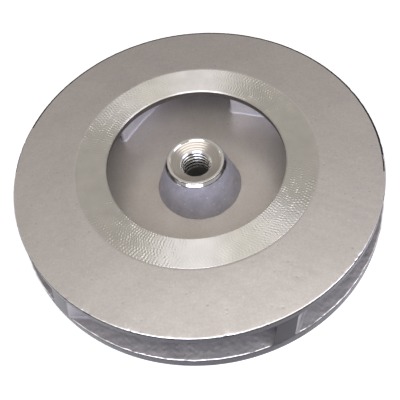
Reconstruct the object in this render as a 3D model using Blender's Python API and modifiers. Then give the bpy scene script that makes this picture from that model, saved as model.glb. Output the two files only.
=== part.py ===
"""Closed pump impeller, six inches across the front shroud.

The real impeller is one stainless steel casting with machined faces. It is
modelled here as the pieces a pump fitter would name: the back shroud, the
hub with its threaded bore, the front shroud with its suction eye, and five
backward curved vanes between the shrouds. The pieces stand a hair apart, so
that each one stays a closed solid of its own.

Units are metres. The origin is the centre of the back face, and +Z points
along the shaft axis out of the suction eye.
"""
import math

import bmesh
import bpy

MM = 0.001
FULL_TURN = 2.0 * math.pi

# Shrouds
FRONT_RADIUS = 76.2 * MM
BACK_RADIUS = 77.7 * MM
BACK_THICKNESS = 5.9 * MM
RIM_TOP = 23.5 * MM
RIM_THICKNESS = 3.8 * MM
RIM_ROUNDING = 0.5 * MM

# Machined ring and suction eye in the front shroud
RING_RADIUS = 49.8 * MM
RING_TOP = 26.2 * MM
EYE_RADIUS = 36.9 * MM
EYE_THICKNESS = 5.0 * MM
EYE_CHAMFER = 0.5 * MM
EYE_ROUNDING = 3.0 * MM
EYE_ROUNDING_STEPS = 4

# Hub, from its foot on the back shroud to its turned nose with the dished end
HUB_BASE_RADIUS = 17.8 * MM
HUB_BASE_HEIGHT = 8.3 * MM
HUB_SHOULDER_RADIUS = 12.75 * MM
HUB_SHOULDER_HEIGHT = 24.0 * MM
HUB_NOSE_RADIUS = 11.7 * MM
HUB_NOSE_HEIGHT = 25.7 * MM
HUB_LIP_RADIUS = 10.7 * MM
HUB_DISH_RADIUS = 10.3 * MM
HUB_DISH_HEIGHT = 25.2 * MM
HUB_WAIST = 0.3 * MM
HUB_SIDE_STEPS = 5

# Threaded bore, half inch with thirteen threads to the inch, and plain below the thread
THREAD_MAJOR_RADIUS = 6.35 * MM
THREAD_MINOR_RADIUS = 5.6 * MM
THREAD_PITCH = 25.4 / 13.0 * MM
THREAD_END_HEIGHT = 13.3 * MM
MOUTH_RADIUS = 6.8 * MM
MOUTH_HEIGHT = 22.6 * MM
BORE_RADIUS = 6.6 * MM

# Vanes
VANE_COUNT = 5
VANE_NOSE_RADIUS = 44.2 * MM
VANE_NOSE_DIRECTION = math.radians(133.6)
VANE_INLET_ANGLE = math.radians(9.4)
VANE_OUTLET_ANGLE = math.radians(35.0)
VANE_TURNING_LENGTH = 6.1 * MM
VANE_NOSE_THICKNESS = 2.5 * MM
VANE_TIP_THICKNESS = 5.4 * MM
VANE_STATIONS = 12
VANE_STATION_CROWDING = 1.5
VANE_SUBSTEPS = 20
VANE_NOSE_STEPS = 4
VANE_OVERRUN = 4.0 * MM
# One core sat a little off its even place in the mould
VANE_CASTING_SHIFT = [math.radians(shift) for shift in (0.0, 0.0, 3.0, 0.0, 0.0)]

# Modelling
PIECE_GAP = 0.3 * MM
SHROUD_STEPS = 100
HUB_STEPS = 40
MERGE_DISTANCE = 0.001 * MM
SHARP_ANGLE = math.radians(25.0)


def clear_scene():
    """Remove every object of the open scene."""
    for item in list(bpy.data.objects):
        bpy.data.objects.remove(item, do_unlink=True)


def new_collection(name):
    """Return a new collection linked to the scene."""
    collection = bpy.data.collections.new(name)
    bpy.context.scene.collection.children.link(collection)
    return collection


def metal(name, colour, roughness):
    """Return a metallic Principled material of one colour."""
    material = bpy.data.materials.new(name)
    material.use_nodes = True
    shader = material.node_tree.nodes["Principled BSDF"]
    shader.inputs["Base Color"].default_value = (*colour, 1.0)
    shader.inputs["Roughness"].default_value = roughness
    shader.inputs["Metallic"].default_value = 1.0
    material.diffuse_color = (*colour, 1.0)
    return material


def bake(source, name, collection):
    """Return a mesh object with the evaluated shape of source, and remove source."""
    bpy.context.view_layer.update()
    depsgraph = bpy.context.evaluated_depsgraph_get()
    mesh = bpy.data.meshes.new_from_object(source.evaluated_get(depsgraph))
    bm = bmesh.new()
    bm.from_mesh(mesh)
    bmesh.ops.remove_doubles(bm, verts=bm.verts, dist=MERGE_DISTANCE)
    bm.to_mesh(mesh)
    bm.free()
    mesh.name = name
    piece = bpy.data.objects.new(name, mesh)
    piece.matrix_world = source.matrix_world.copy()
    collection.objects.link(piece)
    bpy.data.objects.remove(source, do_unlink=True)
    return piece


def shade_round(piece):
    """Shade a piece smooth, and keep its turned corners sharp."""
    piece.data.shade_smooth()
    piece.data.set_sharp_from_angle(angle=SHARP_ANGLE)


def turned(name, profile, steps, collection):
    """Return a ring turned from a closed profile of (radius, height) points.

    The profile runs outwards along the top, down the outer side, inwards
    along the bottom and up the inner side.
    """
    mesh = bpy.data.meshes.new(name + "_profile")
    points = [(radius, 0.0, height) for radius, height in profile]
    edges = [(i, (i + 1) % len(points)) for i in range(len(points))]
    mesh.from_pydata(points, edges, [])
    source = bpy.data.objects.new(name + "_profile", mesh)
    collection.objects.link(source)
    screw = source.modifiers.new("Turn", "SCREW")
    screw.axis = "Z"
    screw.angle = FULL_TURN
    screw.steps = steps
    screw.render_steps = steps
    screw.use_merge_vertices = True
    screw.merge_threshold = MERGE_DISTANCE
    piece = bake(source, name, collection)
    shade_round(piece)
    return piece


def floor_height(radius):
    """Height of the back shroud's floor, a shallow cone from the hub's foot down to the rim."""
    share = (radius - HUB_BASE_RADIUS) / (BACK_RADIUS - HUB_BASE_RADIUS)
    return HUB_BASE_HEIGHT + share * (BACK_THICKNESS - HUB_BASE_HEIGHT)


def back_shroud_profile():
    """Disc around the hub whose floor falls towards the rim, with a broken edge front and back."""
    seat = HUB_BASE_RADIUS + PIECE_GAP
    return [
        (seat, floor_height(seat)),
        (BACK_RADIUS - RIM_ROUNDING, floor_height(BACK_RADIUS - RIM_ROUNDING)),
        (BACK_RADIUS, BACK_THICKNESS - RIM_ROUNDING),
        (BACK_RADIUS, RIM_ROUNDING),
        (BACK_RADIUS - RIM_ROUNDING, 0.0),
        (seat, 0.0),
    ]


def front_shroud_profile():
    """Shallow cone up to the flat machined ring, with the eye through it.

    The underside is a cone too, and rounds up into the wall of the eye.
    """
    underside = RING_TOP - EYE_THICKNESS
    top = [
        (EYE_RADIUS + EYE_CHAMFER, RING_TOP),
        (RING_RADIUS, RING_TOP),
        (FRONT_RADIUS - RIM_ROUNDING, RIM_TOP),
        (FRONT_RADIUS, RIM_TOP - RIM_ROUNDING),
        (FRONT_RADIUS, RIM_TOP - RIM_THICKNESS),
    ]
    lip = []
    for step in range(EYE_ROUNDING_STEPS + 1):
        turn = math.pi / 2.0 * step / EYE_ROUNDING_STEPS
        lip.append((
            EYE_RADIUS + EYE_ROUNDING * (1.0 - math.sin(turn)),
            underside + EYE_ROUNDING * (1.0 - math.cos(turn)),
        ))
    return top + lip + [(EYE_RADIUS, RING_TOP - EYE_CHAMFER)]


def thread_profile(low, high):
    """Points up the bore wall, with a groove at each thread of the tapped hole."""
    pitches = int((high - low) / THREAD_PITCH)
    points = []
    for turn in range(pitches):
        height = low + turn * THREAD_PITCH
        points.append((THREAD_MINOR_RADIUS, height))
        points.append((THREAD_MAJOR_RADIUS, height + THREAD_PITCH / 2.0))
    points.append((THREAD_MINOR_RADIUS, low + pitches * THREAD_PITCH))
    return points


def hub_profile():
    """Slightly waisted cone with a turned nose, a dished end and the bore."""
    side = []
    for step in range(HUB_SIDE_STEPS + 1):
        share = step / HUB_SIDE_STEPS
        radius = HUB_SHOULDER_RADIUS + share * (HUB_BASE_RADIUS - HUB_SHOULDER_RADIUS)
        waist = HUB_WAIST * math.sin(math.pi * share)
        height = HUB_SHOULDER_HEIGHT + share * (HUB_BASE_HEIGHT - HUB_SHOULDER_HEIGHT)
        side.append((radius - waist, height))
    countersink = MOUTH_RADIUS - THREAD_MINOR_RADIUS
    end = [
        (MOUTH_RADIUS, MOUTH_HEIGHT),
        (HUB_DISH_RADIUS, HUB_DISH_HEIGHT),
        (HUB_LIP_RADIUS, HUB_NOSE_HEIGHT),
        (HUB_NOSE_RADIUS, HUB_NOSE_HEIGHT),
    ]
    base = [
        (HUB_BASE_RADIUS, 0.0),
        (BORE_RADIUS, 0.0),
        (BORE_RADIUS, THREAD_END_HEIGHT),
    ]
    return end + side + base + thread_profile(THREAD_END_HEIGHT, MOUTH_HEIGHT - countersink)


def vane_angle(radius):
    """Blade angle to the tangent, rising fast after the nose and then levelling."""
    fade = math.exp(-(radius - VANE_NOSE_RADIUS) / VANE_TURNING_LENGTH)
    return VANE_OUTLET_ANGLE - (VANE_OUTLET_ANGLE - VANE_INLET_ANGLE) * fade


def vane_camber():
    """Return stations (x, y, tangent, share) along the middle of one vane.

    The line winds clockwise as it goes out, and its angle to the tangent is
    vane_angle. Steps grow outwards, because the line bends most at the nose.
    """
    end_radius = BACK_RADIUS + VANE_OVERRUN
    stations = []
    radius = VANE_NOSE_RADIUS
    direction = VANE_NOSE_DIRECTION
    for station in range(VANE_STATIONS + 1):
        slope = vane_angle(radius)
        tangent = direction - math.pi / 2.0 + slope
        share = (radius - VANE_NOSE_RADIUS) / (end_radius - VANE_NOSE_RADIUS)
        stations.append((radius * math.cos(direction), radius * math.sin(direction), tangent, share))
        target_share = ((station + 1) / VANE_STATIONS) ** VANE_STATION_CROWDING
        target = VANE_NOSE_RADIUS + target_share * (end_radius - VANE_NOSE_RADIUS)
        rise = (target - radius) / VANE_SUBSTEPS
        for _ in range(VANE_SUBSTEPS):
            middle = radius + rise / 2.0
            direction -= rise / (middle * math.tan(vane_angle(middle)))
            radius += rise
    return stations


def vane_outline():
    """Return the plan outline of one vane, with a round nose."""
    outer = []
    inner = []
    stations = vane_camber()
    for x, y, tangent, share in stations:
        half = (VANE_NOSE_THICKNESS + share * (VANE_TIP_THICKNESS - VANE_NOSE_THICKNESS)) / 2.0
        across_x = -math.sin(tangent) * half
        across_y = math.cos(tangent) * half
        outer.append((x + across_x, y + across_y))
        inner.append((x - across_x, y - across_y))
    x, y, tangent, _ = stations[0]
    half = VANE_NOSE_THICKNESS / 2.0
    nose = []
    for step in range(1, VANE_NOSE_STEPS):
        turn = tangent - math.pi / 2.0 - math.pi * step / VANE_NOSE_STEPS
        nose.append((x + half * math.cos(turn), y + half * math.sin(turn)))
    return list(reversed(inner)) + nose + outer


def vane_mesh(collection, cutters):
    """Return the mesh of one vane, cut to the space between the shrouds."""
    eye_low = floor_height(EYE_RADIUS) + PIECE_GAP
    rim_low = BACK_THICKNESS + PIECE_GAP
    eye_top = RING_TOP - EYE_THICKNESS - PIECE_GAP
    rim_top = RIM_TOP - RIM_THICKNESS - PIECE_GAP
    passage = turned("vane_passage", [
        (EYE_RADIUS, eye_top),
        (FRONT_RADIUS, rim_top),
        (BACK_RADIUS, rim_low),
        (EYE_RADIUS, eye_low),
    ], SHROUD_STEPS, cutters)
    passage.hide_render = True
    passage.display_type = "WIRE"

    curve = bpy.data.curves.new("vane_outline", "CURVE")
    curve.dimensions = "2D"
    curve.fill_mode = "BOTH"
    curve.extrude = RING_TOP / 2.0
    spline = curve.splines.new("POLY")
    outline = vane_outline()
    spline.points.add(len(outline) - 1)
    for point, (x, y) in zip(spline.points, outline):
        point.co = (x, y, 0.0, 1.0)
    spline.use_cyclic_u = True
    blank_curve = bpy.data.objects.new("vane_outline", curve)
    blank_curve.location.z = RING_TOP / 2.0
    collection.objects.link(blank_curve)
    blank = bake(blank_curve, "vane_blank", collection)

    cut = blank.modifiers.new("Between the shrouds", "BOOLEAN")
    cut.operation = "INTERSECT"
    cut.solver = "EXACT"
    cut.object = passage
    vane = bake(blank, "vane", collection)
    vane.data.transform(vane.matrix_world)
    shade_round(vane)
    mesh = vane.data
    bpy.data.objects.remove(vane, do_unlink=True)
    return mesh


def place_vanes(collection, cutters, material):
    """Place the five vanes around the axis, all sharing one mesh, each with its shift."""
    mesh = vane_mesh(collection, cutters)
    mesh.materials.append(material)
    vanes = []
    for index in range(VANE_COUNT):
        vane = bpy.data.objects.new(f"vane_{index + 1}", mesh)
        vane.rotation_euler.z = FULL_TURN * index / VANE_COUNT + VANE_CASTING_SHIFT[index]
        collection.objects.link(vane)
        vanes.append(vane)
    return vanes


def main():
    """Build the impeller."""
    clear_scene()
    parts = new_collection("pump_impeller")
    cutters = new_collection("cutters")

    back_shroud = turned("back_shroud", back_shroud_profile(), SHROUD_STEPS, parts)
    back_shroud.data.materials.append(metal("back_shroud_steel", (0.36, 0.35, 0.33), 0.45))

    front_shroud = turned("front_shroud", front_shroud_profile(), SHROUD_STEPS, parts)
    front_shroud.data.materials.append(metal("front_shroud_steel", (0.50, 0.48, 0.46), 0.50))

    hub = turned("hub", hub_profile(), HUB_STEPS, parts)
    hub.data.materials.append(metal("hub_steel", (0.40, 0.39, 0.42), 0.35))

    vane_steel = metal("vane_steel", (0.45, 0.45, 0.50), 0.55)
    vanes = place_vanes(parts, cutters, vane_steel)

    axis = bpy.data.objects.new("impeller_axis", None)
    parts.objects.link(axis)
    for piece in (back_shroud, front_shroud, hub, *vanes):
        piece.parent = axis


main()
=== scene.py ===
"""Looks of a closed pump impeller, laid out as an add-on.

Every surface is a grid of points: the two shrouds, the machined ring around the
eye, the hub with its thread, and the five vanes. The places come from the packed
frame, in metres, with the shaft axis along +Z and the back face at zero height.
"""
import math

import bpy
import numpy as np
from mathutils import Matrix, Vector


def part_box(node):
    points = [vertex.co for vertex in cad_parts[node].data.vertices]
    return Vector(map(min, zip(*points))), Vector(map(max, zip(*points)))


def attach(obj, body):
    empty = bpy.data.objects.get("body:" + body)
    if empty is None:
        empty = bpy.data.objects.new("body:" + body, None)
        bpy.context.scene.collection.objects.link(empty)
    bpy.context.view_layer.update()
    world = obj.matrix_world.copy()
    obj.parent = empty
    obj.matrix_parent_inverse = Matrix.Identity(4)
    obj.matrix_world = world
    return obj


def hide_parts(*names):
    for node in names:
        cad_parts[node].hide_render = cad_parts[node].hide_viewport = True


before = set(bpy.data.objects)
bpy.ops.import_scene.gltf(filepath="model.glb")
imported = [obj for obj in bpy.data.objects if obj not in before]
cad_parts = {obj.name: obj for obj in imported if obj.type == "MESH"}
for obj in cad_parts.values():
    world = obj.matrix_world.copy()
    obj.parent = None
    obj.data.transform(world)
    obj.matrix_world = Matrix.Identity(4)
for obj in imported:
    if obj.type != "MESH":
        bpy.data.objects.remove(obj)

bl_info = {
    "name": "Pump impeller",
    "version": (1, 0, 0),
    "blender": (4, 5, 0),
    "location": "View3D > Sidebar > Impeller",
    "description": "Builds a cast pump impeller with its machined faces and its finishes",
    "category": "Add Mesh",
}

MM = 0.001
TURN = 2.0 * math.pi
ROOT = "root"
UV_NAME = "turning"
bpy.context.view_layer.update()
FRONT_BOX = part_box("front_shroud")
BACK_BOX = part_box("back_shroud")
HUB_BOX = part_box("hub")

# Points round the axis in each turned piece
SHROUD_COLUMNS = 1080
BACK_COLUMNS = 960
RING_COLUMNS = 1150
HUB_COLUMNS = 320
# Rows of points in the hub's cast cone, and in one pitch of its thread
CONE_ROWS = 26
THREAD_ROWS = 22
# Faces across the turned end of a vane
END_FACES = 7
SHARP_ANGLE = math.radians(32.0)
# How far one piece reaches into the next
OVERLAP = 0.4 * MM
# How far past the edge of the eye the passages are still satin and not rough, nor darkened by painted
# shade
SATIN_REACH = 20.0 * MM
FIELD_WAVES = 24
NICKS = 46
PIP_DIRECTIONS = (176.0, 262.0, 352.0)
# Share of the blasted facets that get a painted glint
FACET_SHARE = 0.06

# The castings, by the names of their materials: the defaults of the light colour, the dark colour and the
# roughness, then relief, size of the stains, how metallic the skin is, and strength of the painted glints
CASTINGS = {
    # The blasted front of the shroud, even and matt
    "blasted_front_casting": ("#D8D3CE", "#CDC7C2", 0.47, 0.35, 14.0 * MM, 1.0, 0.12),
    # The walls between the shrouds, which no tool reaches: sandy, and a darker grey that is painted shade
    # between the shrouds
    "rough_passage_casting": ("#A29F9F", "#8E8B8C", 0.62, 0.6, 9.0 * MM, 0.6, 0.15),
    # The floor inside the eye, which reflects more softly than the rough walls
    "satin_eye_casting": ("#D0C9C1", "#C3BBB2", 0.33, 0.12, 18.0 * MM, 0.45, 0.0),
    # The inner ends of the vanes, the palest casting: painted light, lighter than the same vanes between
    # the shrouds
    "blasted_vane_casting": ("#DAD8DA", "#CBC9CC", 0.45, 0.3, 12.0 * MM, 0.4, 0.0),
    # The cone of the hub, with the strongest painted glints
    "blasted_hub_casting": ("#C0BDC3", "#AAA7AE", 0.50, 0.5, 5.0 * MM, 0.45, 0.5),
}

# The turned faces: metal, roughness, how far the tool marks stretch the gloss, the
# spacing of the marks, and their relief; a name in quotes is a setting of the finish
TURNINGS = {
    # The machined ring, where a lamp shows as a bright fan
    "face_turned_steel": ("ring_metal", "ring_roughness", "ring_brushing", 0.9 * MM, 0.12),
    # The bored wall of the eye and the underside's turn into it, with a soft sheen, dark with painted
    # shade under the shroud's lip
    "bored_eye_wall": ("eye_wall_metal", 0.38, 0.3, 0.8 * MM, 0.1),
    # The outside of the rims and the turned ends of the vanes, still smooth, and nearly black with
    # painted shade that stands for dark reflections in these upright faces
    "dull_turned_rim": ("rim_metal", "rim_roughness", 0.3, 0.8 * MM, 0.2),
    # The worn edges of the rims, thin bright lines
    "worn_rim_edge": ("edge_metal", "rim_roughness", 0.0, 0.8 * MM, 0.0),
    # The faced back, clean, with coarse marks
    "faced_back": ("ring_metal", 0.34, 0.7, 1.1 * MM, 0.15),
    # The nose of the hub, polished until it mirrors the room
    "polished_nose": ("nose_metal", "nose_roughness", 0.4, 0.7 * MM, 0.1),
    # The dished end of the hub, a little dull
    "faced_hub_end": ("dish_metal", 0.28, 0.4, 0.7 * MM, 0.15),
    # The bore below the thread, dark with painted shade deep in the hole
    "oiled_plain_bore": ("bore_metal", 0.6, 0.0, 0.7 * MM, 0.1),
    # The pips of spilt metal, small bright points
    "bright_casting_pip": ("edge_metal", 0.3, 0.0, 0.7 * MM, 0.0),
}

# The soft lights: name, place, width and height, and the settings of colour and power
SOFTBOXES = [
    ("key_softbox", (0.03, -0.32, 0.84), (1.35, 0.6), "key_colour", "key_power"),
    ("front_window", (-0.22, -0.77, 0.37), (0.8, 0.5), "window_colour", "front_power"),
    ("right_window", (0.74, -0.36, 0.40), (0.5, 0.4), "window_colour", "right_power"),
]


def linear(colour):
    """Linear red, green and blue of an sRGB hex colour."""
    values = [int(colour[place:place + 2], 16) / 255.0 for place in (1, 3, 5)]
    return tuple(v / 12.92 if v <= 0.04045 else ((v + 0.055) / 1.055) ** 2.4 for v in values)


def length(label, description, millimetres):
    """A size that a user can change, given in millimetres and kept in metres."""
    return bpy.props.FloatProperty(
        name=label, description=description, default=millimetres * MM, precision=5, unit="LENGTH")


def turn(label, description, degrees):
    """An angle that a user can change."""
    return bpy.props.FloatProperty(
        name=label, description=description, default=math.radians(degrees), unit="ROTATION")


def share(label, description, default, top=1.0):
    """A plain number from nought up that a user can change."""
    return bpy.props.FloatProperty(name=label, description=description, default=default, min=0.0, max=top)


def colour(label, description, default):
    """A colour that a user can change, given as an sRGB hex value."""
    return bpy.props.FloatVectorProperty(
        name=label, description=description, default=linear(default), size=3, subtype="COLOR",
        min=0.0, max=1.0)


class ImpellerShroudSizes(bpy.types.PropertyGroup):
    """Sizes of the two shrouds, the machined ring and the eye."""

    front_radius: length("Front radius", "Radius of the front shroud", FRONT_BOX[1].x / MM)
    rim_top: length("Rim height", "Top of the front rim", 23.5)
    rim_bottom: length("Rim underside", "Bottom of the front rim", 19.7)
    rim_rounding: length("Rim rounding", "Radius of the rim's worn edge", 0.55)
    ring_radius: length("Ring radius", "Outer radius of the machined ring", 49.8)
    ring_top: length("Ring height", "Height of the machined ring", FRONT_BOX[1].z / MM)
    ring_step: length("Ring step", "How far the ring stands above the casting", 0.09)
    eye_radius: length("Eye radius", "Radius of the suction eye", 36.9)
    eye_chamfer: length("Eye chamfer", "Width of the eye's broken edge", 0.5)
    eye_rounding: length("Eye rounding", "Radius of the underside's turn into the eye", 3.0)
    underside: length("Underside", "Height of the underside next to the eye", 21.2)
    back_radius: length("Back radius", "Radius of the back shroud", BACK_BOX[1].x / MM)
    rim_floor: length("Rim floor", "Height of the back shroud's floor at the rim", 5.9)
    hub_floor: length("Hub floor", "Height of that floor at the hub", BACK_BOX[1].z / MM)
    hub_foot: length("Hub foot", "Radius of the hub on the floor", HUB_BOX[1].x / MM)
    chatter_depth: length("Chatter depth", "Half the depth of the tool's ripples", 0.072)
    chatter_spacing: length("Chatter spacing", "Distance between the ripples", 1.25)
    feed: length("Feed", "Width of the tool's grooves, drawn coarse", 1.2)


class ImpellerHubSizes(bpy.types.PropertyGroup):
    """Sizes of the hub and of its thread."""

    shoulder_radius: length("Shoulder radius", "Radius at the top of the cast cone", 12.75)
    shoulder_height: length("Shoulder height", "Height of the top of the cast cone", 24.0)
    nose_radius: length("Nose radius", "Radius of the turned nose", 11.7)
    nose_height: length("Nose height", "Top of the hub", HUB_BOX[1].z / MM)
    lip_radius: length("Lip radius", "Inner radius of the nose's flat lip", 10.7)
    dish_radius: length("Dish radius", "Radius of the dished end", 10.3)
    dish_drop: length("Dish drop", "Depth of the dish's edge under the lip", 0.5)
    dish_ridge: length("Dish ridge", "Half the height of the tool's ridges", 0.04)
    ridge_spacing: length("Ridge spacing", "Distance between the ridges", 0.95)
    pip_size: length("Pip size", "Radius of the pips at the foot of the cone", 0.35)
    waist: length("Waist", "How far the cone is drawn in at its middle", 0.3)
    core_shift: length("Core shift", "How far the cone's foot lies off the axis", 0.3)
    mouth_radius: length("Mouth radius", "Radius of the bore's mouth", 6.6)
    mouth_height: length("Mouth height", "Height of the bore's mouth", 23.4)
    thread_radius: length("Thread radius", "Largest radius of the thread", 6.35)
    crest_radius: length("Crest radius", "Smallest radius of the thread", 5.75)
    thread_pitch: length("Thread pitch", "Distance from one thread to the next", 25.4 / 13.0)
    thread_end: length("Thread end", "Height at which the thread stops", 12.9)
    bore_radius: length("Bore radius", "Radius of the bore below the thread", 6.6)


class ImpellerVaneSizes(bpy.types.PropertyGroup):
    """Sizes of the five vanes."""

    count: bpy.props.IntProperty(name="Vanes", description="How many vanes there are", default=5)
    nose_radius: length("Nose radius", "Radius at which a vane starts", 44.2)
    nose_direction: turn("Nose direction", "Where the first vane starts", 133.6)
    inlet_angle: turn("Inlet angle", "Angle to the tangent at the nose", 9.4)
    outlet_angle: turn("Outlet angle", "Angle to the tangent at the rim", 35.0)
    turning_length: length("Turning length", "How fast the angle grows", 6.1)
    nose_thickness: length("Nose thickness", "Thickness of a vane at its nose", 2.5)
    tip_thickness: length("Tip thickness", "Thickness of a vane at its full radius", 5.4)
    full_radius: length("Full radius", "Radius at which the tip thickness is reached", 81.7)
    fillet: length("Fillet", "Radius of the cast corner along a vane", 1.1)
    shifted_vane: bpy.props.IntProperty(
        name="Shifted vane", description="The vane off its even place", default=3)
    shift: turn("Shift", "How far that vane is off its even place", 3.0)


class ImpellerFinish(bpy.types.PropertyGroup):
    """Colours and roughness of the steel as each face was made."""

    # add_casting_settings adds those of the castings
    ring_metal: colour("Ring", "Freshly turned steel", "#E8E5DC")
    ring_roughness: share("Ring roughness", "Roughness of the turned ring", 0.44)
    ring_brushing: share("Ring brushing", "How far the tool marks stretch the gloss", 0.95)
    # The eye wall's dark colour is painted shade under the shroud's lip
    eye_wall_metal: colour("Eye wall", "Bored wall of the eye", "#6C6A6A")
    # The rim's near-black colour is painted shade, standing for dark reflections in the upright turned
    # faces
    rim_metal: colour("Rim", "Turned rim, gone dull", "#302E31")
    rim_roughness: share("Rim roughness", "Roughness of the rim", 0.30)
    edge_metal: colour("Rim edge", "Worn edge of the rim", "#E8E5E2")
    dish_metal: colour("Dish", "Dished end of the hub", "#C9C3BB")
    nose_metal: colour("Nose", "Polished nose and thread", "#EDEBE6")
    nose_roughness: share("Nose roughness", "Roughness of the polished nose", 0.12)
    # The plain bore's dark colour is painted shade deep in the hole
    bore_metal: colour("Plain bore", "Oily bore below the thread", "#4A4845")
    grain: length("Grain", "Size of the blasting grain, drawn coarse enough to show", 0.9)


class ImpellerStage(bpy.types.PropertyGroup):
    """Floor, lights and camera."""

    floor_colour: colour("Floor", "Plain pale floor", "#FFFFFF")
    floor_glow: share("Floor glow", "Light of the floor itself, as of lit acrylic", 0.3, 10.0)
    floor_size: length("Floor size", "Half the floor's width", 3000.0)
    room_low: colour("Room, low", "Light near the floor", "#A8A6A5")
    room_high: colour("Room, high", "Light overhead", "#C6C1BE")
    room_back: share("Room, back", "Share of the light low at the back", 0.3)
    room_strength: share("Room strength", "Brightness of the room", 1.0, 10.0)
    key_colour: colour("Key colour", "Colour of the softbox overhead", "#FFFEFC")
    key_power: share("Key power", "Watts of that softbox", 4.0, 1000.0)
    window_colour: colour("Window colour", "Colour of the low windows", "#DDE0FF")
    front_power: share("Front power", "Watts of the window in front", 5.5, 1000.0)
    right_power: share("Right power", "Watts of the window on the right", 1.9, 1000.0)
    camera_elevation: turn("Camera elevation", "Angle of the view above the floor", 56.75)
    camera_roll: turn("Camera roll", "Turn of the camera about its view", 8.94)
    camera_lens: share("Camera lens", "Focal length for a 36 mm sensor", 61.297, 500.0)
    camera_place: bpy.props.FloatVectorProperty(
        name="Camera place", description="Where the camera stands", size=3, precision=6,
        default=(-0.000703, -0.166341, 0.249571), subtype="TRANSLATION", unit="LENGTH")


SETTINGS = {
    "impeller_shrouds": ImpellerShroudSizes,
    "impeller_hub": ImpellerHubSizes,
    "impeller_vanes": ImpellerVaneSizes,
    "impeller_finish": ImpellerFinish,
    "impeller_stage": ImpellerStage,
}


def straight(start, end, steps):
    """Points in equal steps from start towards end, which the next stretch starts with."""
    part = np.linspace(0.0, 1.0, steps, endpoint=False)[:, None]
    return (1.0 - part) * np.array(start) + part * np.array(end)


def arc(centre, radius, start, end, steps):
    """Points on a circle from one angle in degrees towards another, the last one left out."""
    angle = np.radians(np.linspace(start, end, steps, endpoint=False))[:, None]
    return np.array(centre) + radius * np.hstack([np.cos(angle), np.sin(angle)])


def angles(columns):
    """The directions of the columns of a grid round the axis."""
    return np.arange(columns) * TURN / columns


def around(radius, direction, height):
    """Points whose x is the radius times the direction's cosine, and y times its sine."""
    parts = np.broadcast_arrays(radius * np.cos(direction), radius * np.sin(direction), height)
    return np.stack(parts, axis=-1)


def turned(stretches, columns):
    """Stretches of radius and height carried round the axis, and the row where each starts."""
    profile = np.vstack(stretches)
    starts = np.cumsum([0] + [len(stretch) for stretch in stretches])
    return around(profile[:, :1], angles(columns), profile[:, 1:]), starts


def from_axis(points):
    """The distance of each point from the axis."""
    return np.hypot(points[..., 0], points[..., 1])


def field(points, size, seed):
    """A smooth random field of unit strength: the sum of plane waves of about one length."""
    draw = np.random.default_rng(seed)
    heading = draw.normal(size=(FIELD_WAVES, 3))
    heading /= np.linalg.norm(heading, axis=1, keepdims=True)
    number = TURN / size * draw.uniform(0.7, 1.4, FIELD_WAVES)
    start = draw.uniform(0.0, TURN, FIELD_WAVES)
    waves = np.sin(points @ (heading * number[:, None]).T + start)
    return waves.sum(axis=-1) * math.sqrt(2.0 / FIELD_WAVES)


def fade(value, low, high):
    """Nought below low, one above high, and a smooth rise between them."""
    part = np.clip((value - low) / (high - low), 0.0, 1.0)
    return part * part * (3.0 - 2.0 * part)


def grid_faces(rows, columns):
    """Quads of a grid closed both ways, facing along the row step crossed with the column step."""
    row, column = np.indices((rows, columns))
    next_row = (row + 1) % rows
    next_column = (column + 1) % columns
    corners = [row * columns + column, next_row * columns + column,
               next_row * columns + next_column, row * columns + next_column]
    return np.stack(corners, axis=-1).reshape(-1, 4)


def capped_faces(rows, columns):
    """The same quads without those from the last row to the first, and a cap on either row."""
    loops = grid_faces(rows, columns)[:(rows - 1) * columns].tolist()
    loops.append(list(range(columns)))
    loops.append(list(range(rows * columns - 1, (rows - 1) * columns - 1, -1)))
    return loops


def grid_uv(rows, columns):
    """Share of the turn and share of the profile at each corner of grid_faces."""
    row, column = np.indices((rows, columns))
    across = np.stack([column, column, column + 1, column + 1], axis=-1) / columns
    along = np.stack([row, row + 1, row + 1, row], axis=-1) / rows
    return np.stack([across, along], axis=-1).reshape(-1, 2)


def add_piece(name, points, faces, materials, face_material, uv=None):
    """Make one finished piece from points and faces, shade it, and let it ride on the body."""
    mesh = bpy.data.meshes.new(name)
    mesh.from_pydata(points.reshape(-1, 3).tolist(), [], faces)
    for material in materials:
        mesh.materials.append(material)
    mesh.polygons.foreach_set("material_index", np.asarray(face_material, dtype=np.int32))
    if uv is not None:
        layer = mesh.uv_layers.new(name=UV_NAME)
        layer.data.foreach_set("uv", uv.astype(np.float32).ravel())
    mesh.shade_smooth()
    mesh.set_sharp_from_angle(angle=SHARP_ANGLE)
    mesh.update()
    piece = bpy.data.objects.new(name, mesh)
    bpy.context.scene.collection.objects.link(piece)
    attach(piece, ROOT)
    return piece


def add_turned_piece(name, points, materials, bands):
    """Make a piece from a grid round the axis. A band is its first row and its material's number."""
    rows, columns = points.shape[:2]
    by_row = np.zeros(rows, dtype=np.int32)
    for start, number in bands:
        by_row[start:] = number
    faces = grid_faces(rows, columns).tolist()
    uv = grid_uv(rows, columns)
    return add_piece(name, points, faces, materials, np.repeat(by_row, columns), uv)


def add_node(tree, kind, inputs=None, **settings):
    """Add a shader node with its settings, and with values or links for its inputs.

    A list gives the inputs in their order, which for MapRange is the value,
    the range it comes from and the range it goes to.
    """
    node = tree.nodes.new("ShaderNode" + kind)
    for name, value in settings.items():
        setattr(node, name, value)
    if isinstance(inputs, list):
        inputs = dict(enumerate(inputs))
    set_inputs(node, inputs or {})
    return node


def set_inputs(node, inputs):
    """Give each input a value, a link from a socket, or one from a node's first live output."""
    for key, value in inputs.items():
        if isinstance(value, bpy.types.Node):
            value = next(socket for socket in value.outputs if socket.enabled)
        if isinstance(value, bpy.types.NodeSocket):
            node.id_data.links.new(value, node.inputs[key])
        else:
            node.inputs[key].default_value = value


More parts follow.
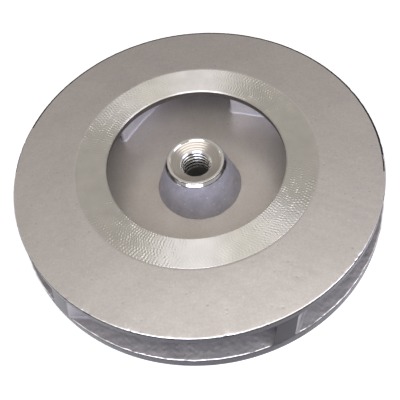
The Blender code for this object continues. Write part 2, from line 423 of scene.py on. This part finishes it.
def start_metal(name, metallic=1.0):
    """A new material, its node tree, its Principled shader and the object's coordinates."""
    material = bpy.data.materials.new(name)
    material.use_nodes = True
    tree = material.node_tree
    shader = tree.nodes["Principled BSDF"]
    shader.inputs["Metallic"].default_value = metallic
    place = add_node(tree, "TexCoord").outputs["Object"]
    return material, tree, shader, place


def opaque(rgb):
    """A colour with full opacity."""
    return (*rgb, 1.0)


def look_up(settings, values):
    """These values, with the setting of that name in place of each name."""
    return [getattr(settings, value) if isinstance(value, str) else value for value in values]


def steels(finish, *names):
    """The materials of these names, each made only once."""
    found = []
    for name in names:
        make = cast_steel if name in CASTINGS else turned_steel
        found.append(bpy.data.materials.get(name) or make(name, finish))
    return found


def cast_steel(name, finish):
    """Stainless steel as cast and blasted.

    The blasting leaves an even matt grain and a few facets, which get painted glints, the mould leaves
    small pits, darkened at their middles with painted shade, and handling leaves cloudy stains. The oxide
    skin makes the rougher walls less metallic than bare steel.
    """
    light, dark, roughness = look_up(finish, [name + "_light", name + "_dark", name + "_roughness"])
    bump, stain_size, metallic, painted_glints = CASTINGS[name][3:]
    grain = finish.grain
    material, tree, shader, place = start_metal(name, metallic)
    stain = add_node(tree, "TexNoise", {
        "Vector": place, "Scale": 1.0 / stain_size, "Detail": 6.0, "Roughness": 0.62})
    fine = add_node(tree, "TexNoise", {
        "Vector": place, "Scale": 1.0 / grain, "Detail": 3.0, "Roughness": 0.6})
    pits = add_node(tree, "TexVoronoi", {"Vector": place, "Scale": 1.0 / (5.0 * grain)})
    facets = add_node(tree, "TexVoronoi", {"Vector": place, "Scale": 1.0 / (1.3 * grain)})
    cloud = add_node(tree, "MapRange", [stain, 0.34, 0.66])
    tint = add_node(tree, "Mix", {0: cloud, 6: opaque(dark), 7: opaque(light)}, data_type="RGBA")
    speck = add_node(tree, "MapRange", [fine, 0.30, 0.62, 0.93, 1.03])
    pit = add_node(tree, "MapRange", [pits, 0.05, 0.13])
    # The pits are darker at their middles: painted shade in the pits
    shade = add_node(tree, "MapRange", [pit, 0.0, 1.0, 0.86, 1.0])
    both = add_node(tree, "Math", [speck, shade], operation="MULTIPLY")
    # Painted glints: a few rare facets are brightened near their middles
    chosen = add_node(tree, "SeparateColor", [facets.outputs["Color"]])
    rare = add_node(tree, "Math", [chosen, 1.0 - FACET_SHARE], operation="GREATER_THAN")
    near = add_node(tree, "MapRange", [facets, 0.15, 0.45, painted_glints, 0.0])
    painted_glint = add_node(tree, "Math", [rare, near], operation="MULTIPLY")
    whole = add_node(tree, "Math", [both, painted_glint], operation="ADD")
    base = add_node(tree, "VectorMath", {0: tint, "Scale": whole}, operation="SCALE")
    gloss = add_node(tree, "MapRange", [stain, 0.3, 0.7, roughness + 0.05, roughness - 0.05])
    height = add_node(tree, "Math", [fine, pit], operation="ADD")
    relief = add_node(tree, "Bump", {"Height": height, "Strength": bump, "Distance": 0.1 * MM})
    set_inputs(shader, {"Base Color": base, "Roughness": gloss, "Normal": relief})
    return material


def turned_steel(name, finish):
    """Stainless steel as the lathe left it.

    The circular tool marks spread the gloss across themselves, so a lamp
    shows as a fan that runs out from the axis.
    """
    metal, roughness, brushing, line_spacing, bump = look_up(finish, TURNINGS[name])
    material, tree, shader, place = start_metal(name)
    lines = add_node(tree, "TexWave", {
        "Vector": place, "Scale": TURN / (20.0 * line_spacing), "Distortion": 0.4, "Detail": 1.0},
        wave_type="RINGS", rings_direction="Z")
    smear = add_node(tree, "TexNoise", {"Vector": place, "Scale": 1.0 / (6.0 * MM), "Detail": 5.0})
    tone = add_node(tree, "MapRange", [smear, 0.3, 0.7, 0.93, 1.05])
    base = add_node(tree, "VectorMath", {0: tuple(metal), "Scale": tone}, operation="SCALE")
    tangent = add_node(tree, "Tangent", direction_type="UV_MAP", uv_map=UV_NAME)
    relief = add_node(tree, "Bump", {
        "Height": lines.outputs["Fac"], "Strength": bump, "Distance": 0.02 * MM})
    set_inputs(shader, {"Base Color": base, "Roughness": roughness, "Anisotropic": brushing,
                        "Anisotropic Rotation": 0.25, "Tangent": tangent, "Normal": relief})
    return material


def tapped_steel(finish, hub):
    """Stainless steel as the tap left it: bright crests, and roots darkened with painted shade.

    The radius of a point tells how deep in the thread it lies, and its height how far down the bore,
    where painted shade darkens the lowest thread.
    """
    material, tree, shader, place = start_metal("tapped_steel")
    parts = add_node(tree, "SeparateXYZ", [place])
    height = parts.outputs["Z"]
    flat = add_node(tree, "CombineXYZ", [parts.outputs["X"], parts.outputs["Y"]])
    radius = add_node(tree, "VectorMath", [flat], operation="LENGTH")
    crest = hub.crest_radius
    depth = hub.thread_radius - crest
    # Painted shade: the colour falls to a tenth from the crests into the roots, except at the mouth
    clean = add_node(tree, "MapRange", [radius, crest + 0.30 * depth, crest + 0.62 * depth, 1.0, 0.10])
    top = hub.mouth_height
    mouth = add_node(tree, "MapRange", [height, top - 0.8 * MM, top - 0.4 * MM])
    bright = add_node(tree, "Math", [clean, mouth], operation="MAXIMUM")
    end = hub.thread_end
    # Painted shade: the lowest thread darkens towards the thread's end
    depth_shade = add_node(tree, "MapRange", [height, end, end + 0.7 * MM, 0.10, 1.0])
    both = add_node(tree, "Math", [bright, depth_shade], operation="MULTIPLY")
    metal = tuple(finish.nose_metal)
    base = add_node(tree, "VectorMath", {0: metal, "Scale": both}, operation="SCALE")
    set_inputs(shader, {"Base Color": base, "Roughness": 0.22})
    return material


def floor_height(radius, sizes):
    """Height of the back shroud's floor, a shallow cone that falls from the hub to the rim."""
    part = (radius - sizes.hub_foot) / (sizes.back_radius - sizes.hub_foot)
    return sizes.hub_floor + part * (sizes.rim_floor - sizes.hub_floor)


def front_underside(radius, sizes):
    """Height of the front shroud's cast underside, which falls towards the rim."""
    start = sizes.eye_radius + sizes.eye_rounding
    part = (radius - start) / (sizes.front_radius - start)
    return sizes.underside + part * (sizes.rim_bottom - sizes.underside)


class IMPELLER_OT_front_shroud(bpy.types.Operator):
    """Build the cast cone of the front shroud, with its worn rim and its underside"""

    bl_idname = "impeller.front_shroud"
    bl_label = "Front shroud"
    # The place of the rim's near-black metal, painted shade, among the piece's materials
    SHADED_RIM = 2

    def execute(self, context):
        sizes = context.scene.impeller_shrouds
        eye = sizes.eye_radius
        ring = sizes.ring_radius
        rim = sizes.front_radius
        worn = rim - sizes.rim_rounding
        rim_z = sizes.rim_top - sizes.rim_rounding
        seat = sizes.ring_top - OVERLAP
        under_ring = (ring - 2.0 * OVERLAP, seat)
        slope = (sizes.ring_top - sizes.rim_top) / (rim - ring)
        lean = math.degrees(math.atan(slope))
        turn_centre = (eye + sizes.eye_rounding, sizes.underside + sizes.eye_rounding)
        # Width of the band inside the far edge of the rim that gets painted shade
        shade_band = 0.45 * MM
        inside_edge = (worn - shade_band, sizes.rim_top + slope * shade_band)
        points, starts = turned([
            straight((eye + 2.0 * OVERLAP, seat), under_ring, 3),
            straight(under_ring, (ring, sizes.ring_top), 1),
            straight((ring, sizes.ring_top), inside_edge, 26),
            straight(inside_edge, (worn, sizes.rim_top), 1),
            arc((worn, rim_z), sizes.rim_rounding, 90.0 - lean, 0.0, 6),
            straight((rim, rim_z), (rim, sizes.rim_bottom), 5),
            straight((rim, sizes.rim_bottom), (turn_centre[0], sizes.underside), 22),
            arc(turn_centre, sizes.eye_rounding, 270.0, 180.0, 8),
            straight((eye, turn_centre[1]), (eye, seat), 2),
        ], SHROUD_COLUMNS)
        self.make_uneven(points, starts, sizes)
        self.nick_rim(points, starts, sizes)
        materials = steels(context.scene.impeller_finish, "blasted_front_casting", "worn_rim_edge",
                           "dull_turned_rim", "rough_passage_casting", "bored_eye_wall")
        bands = [(0, 0), (starts[4], 1), (starts[4] + 3, self.SHADED_RIM), (starts[6], 3), (starts[7], 4)]
        piece = add_turned_piece("front_shroud_casting", points, materials, bands)
        self.shade_far_rim(piece, starts)
        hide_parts("front_shroud")
        return {"FINISHED"}

    def make_uneven(self, points, starts, sizes):
        """Let the cone and the underside wander, and sink the cone next to the ring.

        The sinking follows the squared cosine of half the direction.
        """
        top = slice(starts[1] + 1, starts[5])
        below = slice(starts[6] + 1, starts[7])
        wander = 0.025 * MM * field(points, 22.0 * MM, 11) + 0.008 * MM * field(points, 4.0 * MM, 12)
        rough = 0.05 * MM * field(points, 5.0 * MM, 13)
        direction = angles(points.shape[1])
        drop = sizes.ring_step * (0.35 + 0.65 * np.cos((direction - math.radians(-35.0)) / 2.0) ** 2)
        near_ring = 1.0 - fade(from_axis(points), sizes.ring_radius, sizes.ring_radius + 6.0 * MM)
        points[top, :, 2] += wander[top]
        points[top, :, 2] -= (near_ring * drop)[top]
        points[below, :, 2] += rough[below]

    def nick_rim(self, points, starts, sizes):
        """Dent the rim's upper edge: bell curves in direction push the edge in and down."""
        direction = angles(points.shape[1])
        draw = np.random.default_rng(5)
        places = np.radians(draw.uniform(-200.0, 20.0, NICKS))
        depths = draw.uniform(0.05, 0.30, NICKS) ** 1.5 * MM
        widths = draw.uniform(0.4, 1.1, NICKS) * MM / sizes.front_radius
        away = (direction[None, :] - places[:, None] + math.pi) % TURN - math.pi
        dent = (depths[:, None] * np.exp(-(away / widths[:, None]) ** 2)).sum(axis=0)
        push = dent + np.abs(0.02 * MM * field(points[starts[4]], 1.6 * MM, 14))
        rows = slice(starts[4] - 1, starts[5] + 1)
        weight = np.sin(np.linspace(0.2, 2.9, rows.stop - rows.start))[:, None]
        points[rows, :, :2] *= (1.0 - weight * push / sizes.front_radius)[..., None]
        points[rows, :, 2] -= weight * push

    def shade_far_rim(self, piece, starts):
        """Give the far part of the rim's upper edge, and a thin band inside it, the rim's near-black
        metal as painted shade on the far side.
        """
        direction = angles(SHROUD_COLUMNS)
        on_edge = np.sin(direction + math.radians(8.0)) > 0.0
        on_top = np.cos(direction - math.radians(70.0)) > 0.1
        numbers = np.zeros(len(piece.data.polygons), dtype=np.int32)
        piece.data.polygons.foreach_get("material_index", numbers)
        rows = numbers.reshape(-1, SHROUD_COLUMNS)
        rows[starts[4]:starts[5], on_edge] = self.SHADED_RIM
        rows[starts[3]:starts[4], on_top] = self.SHADED_RIM
        piece.data.polygons.foreach_set("material_index", rows.ravel())


class IMPELLER_OT_eye_ring(bpy.types.Operator):
    """Build the machined ring around the eye, with the ripples that the tool left"""

    bl_idname = "impeller.eye_ring"
    bl_label = "Machined ring"

    def execute(self, context):
        sizes = context.scene.impeller_shrouds
        eye = sizes.eye_radius
        ring = sizes.ring_radius
        top = sizes.ring_top
        chamfer = sizes.eye_chamfer
        soft = 0.12 * MM
        bottom = top - 3.0 * OVERLAP
        points, starts = turned([
            straight((eye, top - chamfer), (eye + chamfer, top), 2),
            straight((eye + chamfer, top), (ring - soft, top), 74),
            arc((ring - soft, top - soft), soft, 90.0, 0.0, 3),
            straight((ring, top - soft), (ring, bottom), 1),
            straight((ring, bottom), (eye + 3.0 * OVERLAP, bottom), 1),
            straight((eye + 3.0 * OVERLAP, bottom), (eye, bottom), 1),
            straight((eye, bottom), (eye, top - chamfer), 2),
        ], RING_COLUMNS)
        face = slice(starts[1], starts[2] + 1)
        points[face, :, 2] += self.chatter(points, sizes)[face]
        materials = steels(context.scene.impeller_finish, "face_turned_steel", "bored_eye_wall")
        bands = [(0, 0), (starts[3], 1)]
        add_turned_piece("machined_eye_ring", points, materials, bands)
        return {"FINISHED"}

    def chatter(self, points, sizes):
        """Ripples of a shaking tool.

        A sine wave runs round the ring. Its phase drifts with the radius, one
        way in the outer and inner bands and the other way between them, so the
        ripples lean. Each groove of the feed shifts the phase at random and
        fades out at its two sides, which breaks the ripples into dashes. Slow
        random fields bend them and vary their depth, and they are deepest at
        the four diagonals.
        """
        radius = from_axis(points)
        direction = angles(points.shape[1])[None, :]
        middle = (sizes.eye_radius + sizes.ring_radius) / 2.0
        half = (sizes.ring_radius - sizes.eye_radius) / 2.0
        number = round(TURN * middle / sizes.chatter_spacing)
        across = (radius - middle) / half
        lean = 0.45 * across + 0.55 * np.sin(TURN * across / 1.3) / (TURN / 1.3)
        bend = 0.9 * field(points, 16.0 * MM, 21) + 0.35 * field(points, 5.0 * MM, 22)
        groove = np.clip(radius - sizes.eye_radius, 0.0, None) / sizes.feed
        shift = np.random.default_rng(25).uniform(-2.2, 2.2, int(groove.max()) + 1)[groove.astype(int)]
        phase = number * direction - lean * half * TURN / sizes.chatter_spacing + bend + shift
        across_groove = 0.05 + 0.95 * np.sin(math.pi * groove) ** 2
        strength = np.clip(0.9 + 0.5 * field(points, 3.5 * MM, 24), 0.15, 1.9)
        diagonal = 0.2 + 0.8 * np.abs(np.sin(2.0 * direction))
        return sizes.chatter_depth * strength * diagonal * across_groove * np.sin(phase)


class IMPELLER_OT_back_shroud(bpy.types.Operator):
    """Build the back shroud, with its cast floor, its turned rim and its faced back"""

    bl_idname = "impeller.back_shroud"
    bl_label = "Back shroud"

    def execute(self, context):
        sizes = context.scene.impeller_shrouds
        foot = sizes.hub_foot
        rim = sizes.back_radius
        soft = 0.45 * MM
        under_hub = foot - 2.0 * OVERLAP
        rough_start = sizes.eye_radius + SATIN_REACH
        inner = (under_hub, floor_height(under_hub, sizes))
        middle = (rough_start, floor_height(rough_start, sizes))
        floor = floor_height(rim, sizes)
        points, starts = turned([
            straight(inner, middle, 26),
            straight(middle, (rim - soft, floor), 36),
            arc((rim - soft, floor - soft), soft, 90.0, 0.0, 5),
            straight((rim, floor - soft), (rim, soft), 5),
            arc((rim - soft, soft), soft, 0.0, -90.0, 5),
            straight((rim - soft, 0.0), (foot, 0.0), 8),
            straight((foot, 0.0), (foot, 2.0 * OVERLAP), 1),
            straight((foot, 2.0 * OVERLAP), inner, 1),
        ], BACK_COLUMNS)
        rough = fade(from_axis(points), rough_start - 3.0 * MM, rough_start + 6.0 * MM)
        wrinkle = rough * (0.045 * field(points, 1.9 * MM, 31) + 0.05 * field(points, 5.5 * MM, 32))
        smooth = 0.012 * field(points, 12.0 * MM, 33)
        points[1:starts[2] + 2, :, 2] += MM * (wrinkle + smooth)[1:starts[2] + 2]
        edge = 1.0 + 0.05 * MM * field(points[starts[2]], 6.0 * MM, 34) / rim
        points[starts[2]:starts[4], :, :2] *= edge[None, :, None]
        materials = steels(context.scene.impeller_finish, "satin_eye_casting", "rough_passage_casting",
                           "worn_rim_edge", "dull_turned_rim", "faced_back")
        # The outside of the rim gets the rim's near-black painted shade
        bands = [(0, 0), (starts[1], 1), (starts[2], 2), (starts[2] + 3, 3), (starts[5], 4)]
        piece = add_turned_piece("back_shroud_casting", points, materials, bands)
        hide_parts("back_shroud")
        return {"FINISHED"}


class IMPELLER_OT_hub(bpy.types.Operator):
    """Build the hub, with its cast cone, its polished nose and its helical thread"""

    bl_idname = "impeller.hub"
    bl_label = "Hub and thread"

    def execute(self, context):
        hub = context.scene.impeller_hub
        shrouds = context.scene.impeller_shrouds
        finish = context.scene.impeller_finish
        foot = (shrouds.hub_foot, shrouds.hub_floor)
        shoulder = (hub.shoulder_radius, hub.shoulder_height)
        cone = straight(shoulder, foot, CONE_ROWS)
        cone[:, 0] -= hub.waist * np.sin(math.pi * np.arange(CONE_ROWS) / CONE_ROWS)
        top = hub.nose_height
        dish = (hub.dish_radius, top - hub.dish_drop)
        lip = (hub.lip_radius, top)
        bore = hub.bore_radius
        soft = 0.15 * MM
        threads = round((hub.mouth_height - hub.thread_end) / hub.thread_pitch * THREAD_ROWS)
        points, starts = turned([
            straight((hub.mouth_radius, hub.mouth_height), dish, 40),
            straight(dish, lip, 2),
            straight(lip, (hub.nose_radius - soft, top), 3),
            arc((hub.nose_radius - soft, top - soft), soft, 90.0, 0.0, 3),
            straight((hub.nose_radius, top - soft), shoulder, 4),
            cone,
            straight(foot, (foot[0], 0.0), 2),
            straight((foot[0], 0.0), (bore, 0.0), 3),
            straight((bore, 0.0), (bore, hub.thread_end), 4),
            straight((bore, hub.thread_end), (bore, hub.mouth_height), threads),
        ], HUB_COLUMNS)
        self.ridge_dish(points[1:starts[1]], hub)
        self.cast_cone(points[starts[5] + 1:starts[6] + 1], hub, foot)
        self.cut_thread(points[starts[9]:], hub)
        materials = steels(
            finish, "faced_hub_end", "polished_nose", "blasted_hub_casting", "oiled_plain_bore")
        materials.append(tapped_steel(finish, hub))
        bands = [(0, 0), (starts[1], 1), (starts[5], 2), (starts[7], 0), (starts[8], 3), (starts[9], 4)]
        piece = add_turned_piece("hub_with_thread", points, materials, bands)
        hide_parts("hub")
        self.add_pips(hub, foot, steels(finish, "bright_casting_pip"))
        return {"FINISHED"}

    def add_pips(self, hub, foot, materials):
        """Three bright pips of spilt metal at the foot of the cone, each a ball sunk by half."""
        rows, columns = 6, 12
        rise = np.linspace(-math.pi / 2.0, math.pi / 2.0, rows + 2)[1:-1, None]
        ball = turned([np.hstack([np.cos(rise), np.sin(rise)])], columns)[0]
        loops = [loop[::-1] for loop in capped_faces(rows, columns)]
        radius = foot[0] + 0.2 * MM
        for number, degrees in enumerate(PIP_DIRECTIONS, start=1):
            direction = math.radians(degrees)
            points = around(radius, direction, foot[1]) + hub.pip_size * ball
            points[..., 0] += hub.core_shift
            add_piece(f"casting_pip_{number}", points, loops, materials, [0] * len(loops))

    def ridge_dish(self, dish, hub):
        """Ridge the dish by a sine wave of the radius, drifting a little with the direction."""
        drift = 0.25 * np.sin(angles(HUB_COLUMNS))[None, :]
        wave = np.sin(TURN * (from_axis(dish) / hub.ridge_spacing + drift))
        dish[..., 2] += hub.dish_ridge * wave

    def cast_cone(self, cone, hub, foot):
        """Make the cast cone uneven, and let it lean to the right towards its foot."""
        uneven = 0.05 * MM * field(cone, 5.0 * MM, 41) + 0.025 * MM * field(cone, 1.5 * MM, 42)
        cone[..., :2] *= (1.0 + uneven / foot[0])[..., None]
        depth = (hub.shoulder_height - cone[..., 2]) / (hub.shoulder_height - foot[1])
        cone[..., 0] += hub.core_shift * depth

    def cut_thread(self, bore, hub):
        """Cut a helical thread into the bore.

        The radius rises and falls as a triangle wave of the height less one
        pitch for each turn, with small flats on crest and root, and the
        countersink cuts what is left at the mouth.
        """
        direction = angles(HUB_COLUMNS)[None, :]
        place = (bore[..., 2] / hub.thread_pitch - direction / TURN) % 1.0
        wave = np.clip(np.abs(place * 2.0 - 1.0) * 1.25 - 0.125, 0.0, 1.0)
        thread = hub.crest_radius + wave * (hub.thread_radius - hub.crest_radius)
        countersink = hub.mouth_radius - (hub.mouth_height - bore[..., 2])
        bore[...] = around(np.maximum(thread, countersink), direction, bore[..., 2])


class IMPELLER_OT_vanes(bpy.types.Operator):
    """Build the five cast vanes, with round noses and fillets into both shrouds"""

    bl_idname = "impeller.vanes"
    bl_label = "Vanes"

    def execute(self, context):
        vanes = context.scene.impeller_vanes
        shrouds = context.scene.impeller_shrouds
        materials = steels(context.scene.impeller_finish, "blasted_vane_casting",
                           "rough_passage_casting", "dull_turned_rim")
        for number in range(1, vanes.count + 1):
            shift = vanes.shift if number == vanes.shifted_vane else 0.0
            start = vanes.nose_direction + TURN * (number - 1) / vanes.count + shift
            points = self.make_uneven(self.wall(vanes, shrouds, start), number)
            rows, columns = points.shape[:2]
            # Inside the eye a vane gets the palest casting, painted light, and between the shrouds the
            # darker one, painted shade
            numbers = np.where(from_axis(points)[:-1] > shrouds.eye_radius + SATIN_REACH, 1, 0)
            # The turned end faces get the rim's near-black painted shade
            numbers[:, columns - END_FACES:] = 2
            face_material = np.append(numbers.ravel(), [1, 1])
            walls = grid_uv(rows, columns)[:4 * (rows - 1) * columns]
            uv = np.vstack([walls, np.zeros((2 * columns, 2))])
            piece = add_piece(f"vane_{number}_casting", points, capped_faces(rows, columns), materials,
                              face_material, uv)
            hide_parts(f"vane_{number}")
        return {"FINISHED"}

    def angle_to_tangent(self, radius, vanes):
        """The angle starts at the inlet angle and closes on the outlet angle exponentially."""
        left = np.exp(-(radius - vanes.nose_radius) / vanes.turning_length)
        return vanes.outlet_angle - (vanes.outlet_angle - vanes.inlet_angle) * left

    def wall(self, vanes, shrouds, start):
        """Points of one vane, rows from the top down and columns round it from tail to nose and back.

        The middle line winds clockwise: its direction falls by the step in
        radius over the radius times the tangent of the angle. Each side lies
        half the thickness, plus the fillet's flare, to the left or right of
        the middle line, and the nose is half a circle. The sides end where
        they meet the cylinder that the rims were turned to.
        """
        table = np.linspace(vanes.nose_radius, vanes.full_radius + 4.0 * MM, 900)
        middle = (table[1:] + table[:-1]) / 2.0
        steps = np.diff(table) / (middle * np.tan(self.angle_to_tangent(middle, vanes)))
        direction = start - np.concatenate([[0.0], np.cumsum(steps)])

        below, part = self.row_places(vanes)
        end_part = np.clip(below / (12.0 * MM) + part, 0.0, 1.0)[:, None]
        end_radius = shrouds.back_radius + end_part * (shrouds.front_radius - shrouds.back_radius)

        def side_points(station, sign):
            """Points left or right of the middle line at these radii, for every row."""
            heading = np.interp(station, table, direction)
            top = front_underside(station, shrouds)
            floor = floor_height(station, shrouds)
            height = floor + below[:, None] + part[:, None] * (top - floor)
            near = np.minimum(height - floor, top - height)
            dip = np.clip(vanes.fillet - np.maximum(near, 0.0), 0.0, vanes.fillet)
            flare = vanes.fillet - np.sqrt(vanes.fillet ** 2 - dip ** 2)
            grown = (station - vanes.nose_radius) / (vanes.full_radius - vanes.nose_radius)
            half = (vanes.nose_thickness + grown * (vanes.tip_thickness - vanes.nose_thickness)) / 2.0
            out = heading + self.angle_to_tangent(station, vanes)
            half = half + flare
            return around(station, heading, height) + around(sign * half, out, 0.0), half

        def side(sign):
            """One side from nose to tail, its stations stretched to end on the turned cylinder."""
            end = np.full((len(below), 1), shrouds.front_radius)
            for _ in range(8):
                end = end + end_radius - from_axis(side_points(end, sign)[0])
            spread = np.linspace(0.0, 1.0, 72)[None, :] ** 1.3
            station = vanes.nose_radius + spread * (end - vanes.nose_radius)
            return side_points(station, sign)[0]

        left = side(1.0)
        right = side(-1.0)
        first = np.full((len(below), 1), vanes.nose_radius)
        edge, half = side_points(first, 1.0)
        out = start + self.angle_to_tangent(vanes.nose_radius, vanes)
        sweep = out + np.radians(np.linspace(0.0, 180.0, 14)[1:-1])[None, :]
        nose = edge - around(half, out, 0.0) + around(half, sweep, 0.0)
        turn_share = np.linspace(0.0, 1.0, END_FACES + 1)[1:-1][None, :]
        tail_left = np.arctan2(left[:, -1:, 1], left[:, -1:, 0])
        tail_right = np.arctan2(right[:, -1:, 1], right[:, -1:, 0])
        gap = (tail_left - tail_right + math.pi) % TURN - math.pi
        tail = around(end_radius, tail_right + turn_share * gap, left[:, -1:, 2])
        return np.concatenate([left[:, ::-1], nose, right, tail], axis=1)[::-1]

    def row_places(self, vanes):
        """Rows from the bottom up, crowded into the two fillets.

        A row's height is the floor, plus its own offset, plus its share of the
        height between the shrouds.
        """
        crowd = vanes.fillet * (1.0 - np.cos(np.radians(np.linspace(0.0, 90.0, 9))))
        lower = np.concatenate([[-OVERLAP], crowd])
        mid = np.linspace(0.0, 1.0, 14)[1:-1]
        below = np.concatenate([lower, vanes.fillet * (1.0 - 2.0 * mid), -lower[::-1]])
        part = np.concatenate([np.zeros(len(lower)), mid, np.ones(len(lower))])
        return below, part

    def make_uneven(self, points, number):
        """Shift the wall sideways by a smooth random field, but not its turned end."""
        along = np.roll(points, -1, axis=1) - np.roll(points, 1, axis=1)
        across = np.stack([along[..., 1], -along[..., 0], np.zeros(along.shape[:2])], axis=-1)
        across /= np.maximum(np.linalg.norm(across, axis=-1, keepdims=True), 1e-9)
        wander = 0.05 * field(points, 5.0 * MM, 50 + number) + 0.02 * field(points, 1.8 * MM, 60 + number)
        keep = np.ones(points.shape[1])
        keep[points.shape[1] - END_FACES - 2:] = 0.0
        keep[:3] = 0.0
        return points + across * (MM * wander * keep[None, :])[..., None]


class IMPELLER_OT_stage(bpy.types.Operator):
    """Set up the pale floor, the soft lights and the camera"""

    bl_idname = "impeller.stage"
    bl_label = "Stage"

    def execute(self, context):
        stage = context.scene.impeller_stage
        self.add_floor(context, stage)
        self.light_room(context, stage)
        for softbox in SOFTBOXES:
            self.add_softbox(context, stage, *softbox)
        self.add_camera(context, stage)
        context.scene.view_settings.view_transform = "Standard"
        return {"FINISHED"}

    def add_floor(self, context, stage):
        """A plain square just under the back face, of matt white acrylic, lit from within."""
        material = bpy.data.materials.new("pale_floor")
        material.use_nodes = True
        tint = opaque(stage.floor_colour)
        set_inputs(material.node_tree.nodes["Principled BSDF"], {
            "Base Color": tint, "Roughness": 0.9, "Specular IOR Level": 0.1,
            "Emission Color": tint, "Emission Strength": stage.floor_glow})
        half = stage.floor_size
        low = -0.05 * MM
        corners = [(-half, -half, low), (half, -half, low), (half, half, low), (-half, half, low)]
        mesh = bpy.data.meshes.new("floor")
        mesh.from_pydata(corners, [], [(0, 1, 2, 3)])
        mesh.materials.append(material)
        floor = bpy.data.objects.new("floor", mesh)
        context.scene.collection.objects.link(floor)

    def light_room(self, context, stage):
        """A soft room that is brighter overhead than at the floor, and dark low at the back."""
        world = bpy.data.worlds.new("studio")
        world.use_nodes = True
        tree = world.node_tree
        heading = add_node(tree, "SeparateXYZ", [add_node(tree, "TexCoord").outputs["Generated"]])
        rise = add_node(tree, "MapRange", [heading.outputs["Z"], 0.1, 0.95])
        tint = add_node(tree, "Mix", {
            0: rise, 6: opaque(stage.room_low), 7: opaque(stage.room_high)}, data_type="RGBA")
        back = add_node(tree, "MapRange", [heading.outputs["Y"], 0.82, 0.96, 1.0, stage.room_back])
        shaded = add_node(tree, "VectorMath", {0: tint, "Scale": back}, operation="SCALE")
        set_inputs(tree.nodes["Background"], {"Color": shaded, "Strength": stage.room_strength})
        context.scene.world = world

    def add_softbox(self, context, stage, name, place, size, tint, power):
        """A rectangular soft light that faces the impeller."""
        data = bpy.data.lights.new(name, "AREA")
        data.shape = "RECTANGLE"
        data.size, data.size_y = size
        data.color, data.energy = look_up(stage, (tint, power))
        light = bpy.data.objects.new(name, data)
        light.location = place
        light.rotation_euler = Vector(place).to_track_quat("Z", "Y").to_euler()
        context.scene.collection.objects.link(light)

    def add_camera(self, context, stage):
        """A camera that looks down at the impeller from the front, rolled a little to the right."""
        data = bpy.data.cameras.new("camera")
        data.sensor_width = 36.0
        data.lens = stage.camera_lens
        data.clip_start = 0.01
        camera = bpy.data.objects.new("camera", data)
        tilt = Matrix.Rotation(math.pi / 2.0 - stage.camera_elevation, 4, "X")
        roll = Matrix.Rotation(-stage.camera_roll, 4, "Z")
        camera.matrix_world = Matrix.Translation(stage.camera_place) @ tilt @ roll
        context.scene.collection.objects.link(camera)
        context.scene.camera = camera


STEPS = [IMPELLER_OT_stage, IMPELLER_OT_front_shroud, IMPELLER_OT_eye_ring,
         IMPELLER_OT_back_shroud, IMPELLER_OT_hub, IMPELLER_OT_vanes]


class IMPELLER_PT_panel(bpy.types.Panel):
    """List the pieces of the impeller and the sizes and colours that make them."""

    bl_label = "Pump impeller"
    bl_idname = "IMPELLER_PT_panel"
    bl_space_type = "VIEW_3D"
    bl_region_type = "UI"
    bl_category = "Impeller"

    def draw(self, context):
        for step in STEPS:
            self.layout.operator(step.bl_idname)
        for name, group in SETTINGS.items():
            box = self.layout.box()
            box.label(text=group.__doc__)
            for key in group.__annotations__:
                box.prop(getattr(context.scene, name), key)


def add_casting_settings():
    """Add the two colours and the roughness of each casting to the settings of the finish."""
    for name, (light, dark, roughness, *_) in CASTINGS.items():
        label = name.replace("_", " ").capitalize()
        ImpellerFinish.__annotations__.update({
            name + "_light": colour(label + ", light", "Its colour where clean", light),
            name + "_dark": colour(label + ", dark", "Its colour where stained", dark),
            name + "_roughness": share(label + ", roughness", "How far it spreads the gloss", roughness)})


def register():
    """Register the classes and hang the settings on the scene."""
    add_casting_settings()
    for name, group in SETTINGS.items():
        bpy.utils.register_class(group)
        setattr(bpy.types.Scene, name, bpy.props.PointerProperty(type=group))
    for step in STEPS:
        bpy.utils.register_class(step)
    bpy.utils.register_class(IMPELLER_PT_panel)


def unregister():
    """Undo register."""
    bpy.utils.unregister_class(IMPELLER_PT_panel)
    for step in STEPS:
        bpy.utils.unregister_class(step)
    for name, group in SETTINGS.items():
        delattr(bpy.types.Scene, name)
        bpy.utils.unregister_class(group)


def main():
    """Build the impeller and its stage."""
    register()
    bpy.ops.impeller.stage()
    bpy.ops.impeller.front_shroud()
    bpy.ops.impeller.eye_ring()
    bpy.ops.impeller.back_shroud()
    bpy.ops.impeller.hub()
    bpy.ops.impeller.vanes()


if __name__ == "__main__":
    main()
